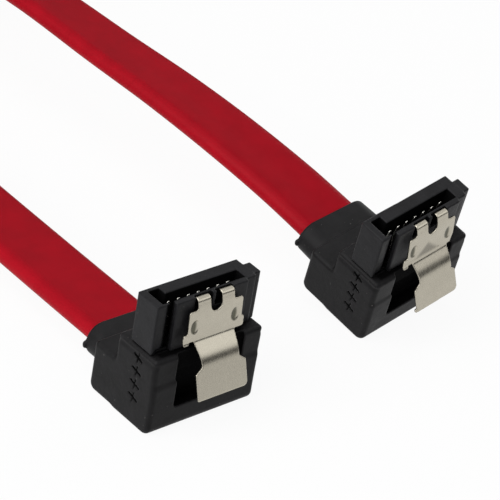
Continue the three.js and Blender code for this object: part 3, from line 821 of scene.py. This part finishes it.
def mesh_object(name, points, faces, finish, matrix=None, body="cable", smooth=True, fields=None):
    """Puts arrays of points in millimetres and faces into a new object that stays at the origin, with
    any numbers that its points carry."""
    points = np.asarray(points, float)
    if matrix is not None:
        turn = np.array(matrix)
        points = points @ turn[:3, :3].T + turn[:3, 3]
    mesh = bpy.data.meshes.new(name)
    parts = [np.asarray(part) for part in (faces if isinstance(faces, list) else [faces])]
    sizes = np.concatenate([np.full(len(part), part.shape[1]) for part in parts])
    corners = np.concatenate([part.ravel() for part in parts])
    mesh.vertices.add(len(points))
    mesh.vertices.foreach_set("co", (points * MM).ravel())
    mesh.loops.add(len(corners))
    mesh.loops.foreach_set("vertex_index", corners.astype(np.int32))
    mesh.polygons.add(len(sizes))
    mesh.polygons.foreach_set("loop_start", np.r_[0, np.cumsum(sizes)[:-1]].astype(np.int32))
    mesh.update(calc_edges=True)
    mesh.validate()
    mesh.polygons.foreach_set("use_smooth", np.full(len(mesh.polygons), smooth))
    mesh.materials.append(finish)
    for field, values in (fields or {}).items():
        layer = mesh.attributes.new(field, "FLOAT", "POINT")
        layer.data.foreach_set("value", np.asarray(values, np.float32))
    piece = bpy.data.objects.new(name, mesh)
    bpy.context.scene.collection.objects.link(piece)
    if body:
        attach(piece, body)
    return piece


def buried(hull, points):
    """How far each point lies inside the form before its cuts: 0 on its outside, 1 from a set depth in."""
    return np.clip(-hull(tuple(points.T)) / HOLLOW_DEPTH, 0, 1)


def ledge(points):
    """A shade on the overmould's narrow top ahead of the housing, where little light gets in."""
    x, y, z = points.T
    ahead = ramp(-y, 3.5, 0.3) * (1 - ramp(-y, 4.3, 0.35))
    return LEDGE_SHADE * ahead * ramp(z, 8.8, 0.2) * ramp(x, -6.1, 0.8) * (1 - ramp(x, 4.6, 1.0))


def latch_marks(side, points):
    """Where a sheet gets a painted olive shade in its dents, less to their right, and where it is darker
    above the bend.
    """
    (line_y, line_z), s, first, _ = latch_line(side)
    near = np.argmin((points[:, 1, None] - line_y) ** 2 + (points[:, 2, None] - line_z) ** 2, axis=1)
    across, along = points[:, 0] - LATCH_CENTRE, s[near]
    # Painted shade in the dents: strong on their left side, taken back on their right
    painted_dent_shade = np.clip(1.8 * dent_share(across + 0.12, along) - 0.7 * dent_share(across - 0.3, along), 0, 1)
    # A darker patch on the right sheet only, above the bend
    rise = (first - 0.45 - along) / 1.5
    dark_patch = ramp(rise, 0.0, 0.3) * (1 - ramp(abs(across + 0.5) / 1.7 + rise, 0.95, 0.5))
    return {"painted_dent_shade": painted_dent_shade, "dark_patch": dark_patch * (side == "right")}


def give_ribbon_map(piece, path, outline):
    """A UV map in millimetres: across the outline, and along the path."""
    along = passed(path)
    spot = np.stack([np.tile(passed(outline), len(path)), np.repeat(along, len(outline))], -1)
    spot = np.concatenate([spot, [[0, 0], [0, along[-1]]]])
    mesh = piece.data
    corner = np.zeros(len(mesh.loops), np.int32)
    mesh.loops.foreach_get("vertex_index", corner)
    layer = mesh.uv_layers.new(name="ribbon")
    layer.data.foreach_set("uv", spot[corner].ravel())


def ribbon(name, path, across, outline, finish):
    """A piece that carries an outline along a path, with its own map."""
    points, sides, caps = swept(path, across, outline)
    piece = mesh_object(name, points, [sides, caps], finish)
    give_ribbon_map(piece, path, outline)
    return piece


def dress(nodes, finish):
    """Gives CAD nodes a finish."""
    for name in nodes:
        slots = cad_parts[name].data.materials
        slots.clear()
        slots.append(finish)


def size_setting(name, description, size):
    """A length in the panel."""
    return FloatProperty(name=name, description=description, default=size, unit="LENGTH")


def colour_setting(name, description, colour):
    """A colour in the panel."""
    default = (*colour, 1.0)
    return FloatVectorProperty(name=name, description=description, size=4, subtype="COLOR", default=default)


class CableSettings(bpy.types.PropertyGroup):
    """The cable's sizes."""
    width: size_setting("Width", "Width of the jacket", 8.15 * MM)
    thickness: size_setting("Thickness", "Thickness of the jacket", 2.12 * MM)
    dip: size_setting("Dip", "Depth of the groove along the middle", 0.07 * MM)
    length: size_setting("Length", "Real length from end to end", 0.5)


class MouldSettings(bpy.types.PropertyGroup):
    """How finely the moulded pieces are worked out."""
    plastic_step: size_setting("Plastic Step", "Grid step on overmoulds and housings", 0.12 * MM)
    sheet_step: size_setting("Sheet Step", "Grid step on the latches", 0.07 * MM)


class ColourSettings(bpy.types.PropertyGroup):
    """The finishes' colours."""
    overmould: colour_setting("Overmould", "Black vinyl of the overmoulds", (0.0068, 0.0065, 0.007))
    housing: colour_setting("Housing", "Black nylon of the receptacles", (0.0105, 0.0104, 0.0115))
    steel: colour_setting("Latch Steel", "Spring steel of the latches", (0.47, 0.437, 0.362))
    contact: colour_setting("Contacts", "Plated contacts", (0.5, 0.49, 0.45))
    jacket: colour_setting("Jacket", "Red vinyl of the cable", (0.32, 0.004, 0.011))
    strap: colour_setting("Tie", "Black strap round the hank", (0.012, 0.012, 0.013))
    floor: colour_setting("Floor", "Plain floor", (0.9, 0.9, 0.9))


class DATACABLE_OT_camera(bpy.types.Operator):
    """Sets the camera where the fit puts it"""
    bl_idname = "data_cable.camera"
    bl_label = "Camera"

    def execute(self, context):
        data = bpy.data.cameras.new("camera")
        data.lens = LENS
        data.sensor_width = 36
        data.clip_start = 0.01
        camera = bpy.data.objects.new("camera", data)
        context.scene.collection.objects.link(camera)
        turn, drop, roll = CAMERA_TURN, CAMERA_DROP, CAMERA_ROLL
        ahead = Vector((-sin(turn) * cos(drop), cos(turn) * cos(drop), -sin(drop)))
        level = Vector((cos(turn), sin(turn), 0))
        rise = level.cross(ahead)
        right = level * cos(roll) + rise * sin(roll)
        up = rise * cos(roll) - level * sin(roll)
        facing = Matrix((right, up, -ahead)).transposed().to_4x4()
        camera.matrix_world = Matrix.Translation(CAMERA_AT) @ facing
        context.scene.camera = camera
        return {"FINISHED"}


class DATACABLE_OT_cable(bpy.types.Operator):
    """Lays the flat cable from one connector to the other, its middle folded and tied"""
    bl_idname = "data_cable.cable"
    bl_label = "Cable and Tie"

    def execute(self, context):
        sizes, colours = context.scene.cable_sizes, context.scene.cable_colours
        line, angle = cable_route()
        outline = jacket_outline(sizes.width / MM / 2, sizes.thickness / MM / 2, sizes.dip / MM)
        red = jacket("red jacket", colours.jacket)
        cable = ribbon("flat_cable", line, width_direction(line, angle), outline, red)
        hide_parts("cable_left_run", "cable_hank", "cable_right_run")

        loop = tie_loop()
        across = np.tile([0.0, 1.0, 0.0], (len(loop), 1))
        woven = strap("woven strap", colours.strap)
        band = ribbon("hank_tie", loop, across, superellipse(*TIE_EDGE), woven)
        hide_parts("cable_tie")
        return {"FINISHED"}


class DATACABLE_OT_moulds(bpy.types.Operator):
    """Moulds the overmoulds and the receptacle housings"""
    bl_idname = "data_cable.moulds"
    bl_label = "Overmoulds and Housings"

    def execute(self, context):
        step, colours = context.scene.cable_moulds.plastic_step / MM, context.scene.cable_colours
        block = skin(overmould_shape, *OVERMOULD_SPACE, step)
        nose = skin(housing_shape, *HOUSING_SPACE, step)
        black = vinyl("overmould vinyl", colours.overmould)
        nylon = vinyl("housing nylon", colours.housing, mottle=0.2, roughness=0.42, grain=14.0)
        # Painted shade: black deep in the overmould's recess and bore and on its narrow top under the
        # housing, and deep in the housing's slot, pockets and sunk front
        block_painted_shade = {"painted_hollow_shade": np.maximum(buried(overmould_hull, block[0]), ledge(block[0]))}
        nose_painted_shade = {"painted_hollow_shade": buried(nose_block, nose[0])}
        for side, matrix in SIDES.items():
            points = turned_sleeve(block[0]) if side == "right" else block[0]
            body = mesh_object(f"{side}_overmould_skin", points, block[1], black, matrix, fields=block_painted_shade)
            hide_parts(f"{side}_overmould")
            shell = mesh_object(f"{side}_housing_skin", *nose, nylon, matrix, fields=nose_painted_shade)
            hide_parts(f"{side}_housing")
        return {"FINISHED"}


class DATACABLE_OT_latches(bpy.types.Operator):
    """Bends the two latch springs"""
    bl_idname = "data_cable.latches"
    bl_label = "Latch Springs"

    def execute(self, context):
        step, colours = context.scene.cable_moulds.sheet_step / MM, context.scene.cable_colours
        steel = spring_steel("spring steel", colours.steel)
        for side, matrix in SIDES.items():
            points, faces = skin(latch_shape(side), *LATCH_SPACE, step)
            spring = mesh_object(f"{side}_latch_sheet", points, faces, steel, matrix, f"{side}_latch",
                                 fields=latch_marks(side, points))
            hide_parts(f"{side}_latch")
        return {"FINISHED"}


class DATACABLE_OT_contacts(bpy.types.Operator):
    """Forms the row of bowed contacts in each receptacle"""
    bl_idname = "data_cable.contacts"
    bl_label = "Contacts"

    def execute(self, context):
        finish = plating("contact plating", context.scene.cable_colours.contact)
        line = through([(0, y, z) for y, z in CONTACT_LINE], 0.12)
        tip_share, taper = CONTACT_TIP
        narrow = np.clip((CONTACT_LINE[-1][1] - line[:, 2]) / taper, 0, 1)
        share = tip_share + (1 - tip_share) * np.sqrt(narrow)
        across = np.tile([1.0, 0.0, 0.0], (len(line), 1))
        for side, matrix in SIDES.items():
            for i in range(CONTACTS):
                centre = line + [CONTACT_FIRST + i * CONTACT_PITCH, 0, 0]
                points, sides, caps = swept(centre, across, superellipse(*CONTACT_EDGE), share)
                blade = mesh_object(f"{side}_blade_{i + 1}", points, [sides, caps], finish, matrix)
                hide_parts(f"{side}_contact_{i + 1}")
        return {"FINISHED"}


class DATACABLE_OT_insides(bpy.types.Operator):
    """Finishes the inner moulds and the wire ends, which the frame carries"""
    bl_idname = "data_cable.insides"
    bl_label = "Inner Moulds and Wires"

    def execute(self, context):
        natural = vinyl("natural mould", NATURAL, mottle=0.08, roughness=0.55)
        foil = spring_steel("drain foil", FOIL)
        pale = insulation("pale insulation", PALE)
        blue = insulation("blue insulation", BLUE)
        for side in SIDES:
            dress([f"{side}_inner_mould"], natural)
            dress([f"{side}_ground_wire_{i}" for i in (1, 4, 7)], foil)
            dress([f"{side}_signal_wire_{i}" for i in (2, 5)], pale)
            dress([f"{side}_signal_wire_{i}" for i in (3, 6)], blue)
        return {"FINISHED"}


class DATACABLE_OT_stage(bpy.types.Operator):
    """Lays the floor and sets the lamps"""
    bl_idname = "data_cable.stage"
    bl_label = "Floor and Light"

    def execute(self, context):
        corners = np.array([(-1, -1, 0), (1, -1, 0), (1, 1, 0), (-1, 1, 0)]) * FLOOR_REACH
        finish = Finish("floor")
        paint = finish.node("ShaderNodeBsdfDiffuse", None, {"Color": context.scene.cable_colours.floor[:]})
        white = finish.node("ShaderNodeEmission", None, {"Color": WHITE, "Strength": 1.0})
        glow = direct_view(finish) * FLOOR_GLOW
        finish.shown(finish.node("ShaderNodeMixShader", None, {0: glow, 1: paint, 2: white}))
        faces = np.array([[0, 1, 2, 3]])
        floor = mesh_object("floor", corners, faces, finish.owner, body=None, smooth=False)
        air = Finish("studio", "worlds")
        context.scene.world = air.owner
        height = air.part(air.node("ShaderNodeTexCoord", output="Generated"), 2)
        rays = air.node("ShaderNodeLightPath", output="Is Camera Ray")
        bright = (height.steps(0.2, 0.5) * 0.85 + 0.03).math("MAXIMUM", rays)
        dim = air.node("ShaderNodeBackground", None, {"Color": SKY, "Strength": SKY_DIM})
        white = air.node("ShaderNodeBackground", None, {"Color": WHITE, "Strength": bright})
        air.shown(air.node("ShaderNodeMixShader", None, {0: direct_view(air), 1: dim, 2: white}))
        for name, numbers in LAMPS.items():
            lamp(name, *numbers)
        return {"FINISHED"}


def direct_view(finish):
    """1 where a camera, glossy or see-through ray meets the surface."""
    camera, glossy, passing = [finish.node("ShaderNodeLightPath", output=f"Is {kind} Ray")
                               for kind in ("Camera", "Glossy", "Transmission")]
    return camera.math("MAXIMUM", glossy).math("MAXIMUM", passing)


def lamp(name, place, target, size, power):
    """A square soft lamp that faces a target."""
    data = bpy.data.lights.new(name, "AREA")
    data.size = size
    data.energy = power
    light = bpy.data.objects.new(name, data)
    bpy.context.scene.collection.objects.link(light)
    facing = (Vector(target) - Vector(place)).to_track_quat("-Z", "Y")
    light.matrix_world = Matrix.Translation(place) @ facing.to_matrix().to_4x4()


OPERATORS = [
    DATACABLE_OT_camera, DATACABLE_OT_cable, DATACABLE_OT_moulds, DATACABLE_OT_latches,
    DATACABLE_OT_contacts, DATACABLE_OT_insides, DATACABLE_OT_stage,
]
SETTINGS = {"cable_sizes": CableSettings, "cable_moulds": MouldSettings, "cable_colours": ColourSettings}


class DATACABLE_PT_panel(bpy.types.Panel):
    """Lists the steps and the settings"""
    bl_idname = "DATACABLE_PT_panel"
    bl_label = "Data Cable"
    bl_space_type = "VIEW_3D"
    bl_region_type = "UI"
    bl_category = "Data Cable"

    def draw(self, context):
        for name, group in SETTINGS.items():
            for field in group.__annotations__:
                self.layout.prop(getattr(context.scene, name), field)
        for operator in OPERATORS:
            self.layout.operator(operator.bl_idname)


def register():
    for kind in (*SETTINGS.values(), *OPERATORS, DATACABLE_PT_panel):
        bpy.utils.register_class(kind)
    for name, kind in SETTINGS.items():
        setattr(bpy.types.Scene, name, PointerProperty(type=kind))


def unregister():
    for name in SETTINGS:
        delattr(bpy.types.Scene, name)
    for kind in (DATACABLE_PT_panel, *reversed(OPERATORS), *reversed(SETTINGS.values())):
        bpy.utils.unregister_class(kind)


def main():
    register()
    bpy.context.scene.view_settings.view_transform = "Standard"
    for operator in OPERATORS:
        group, name = operator.bl_idname.split(".")
        getattr(getattr(bpy.ops, group), name)()


if __name__ == "__main__":
    main()
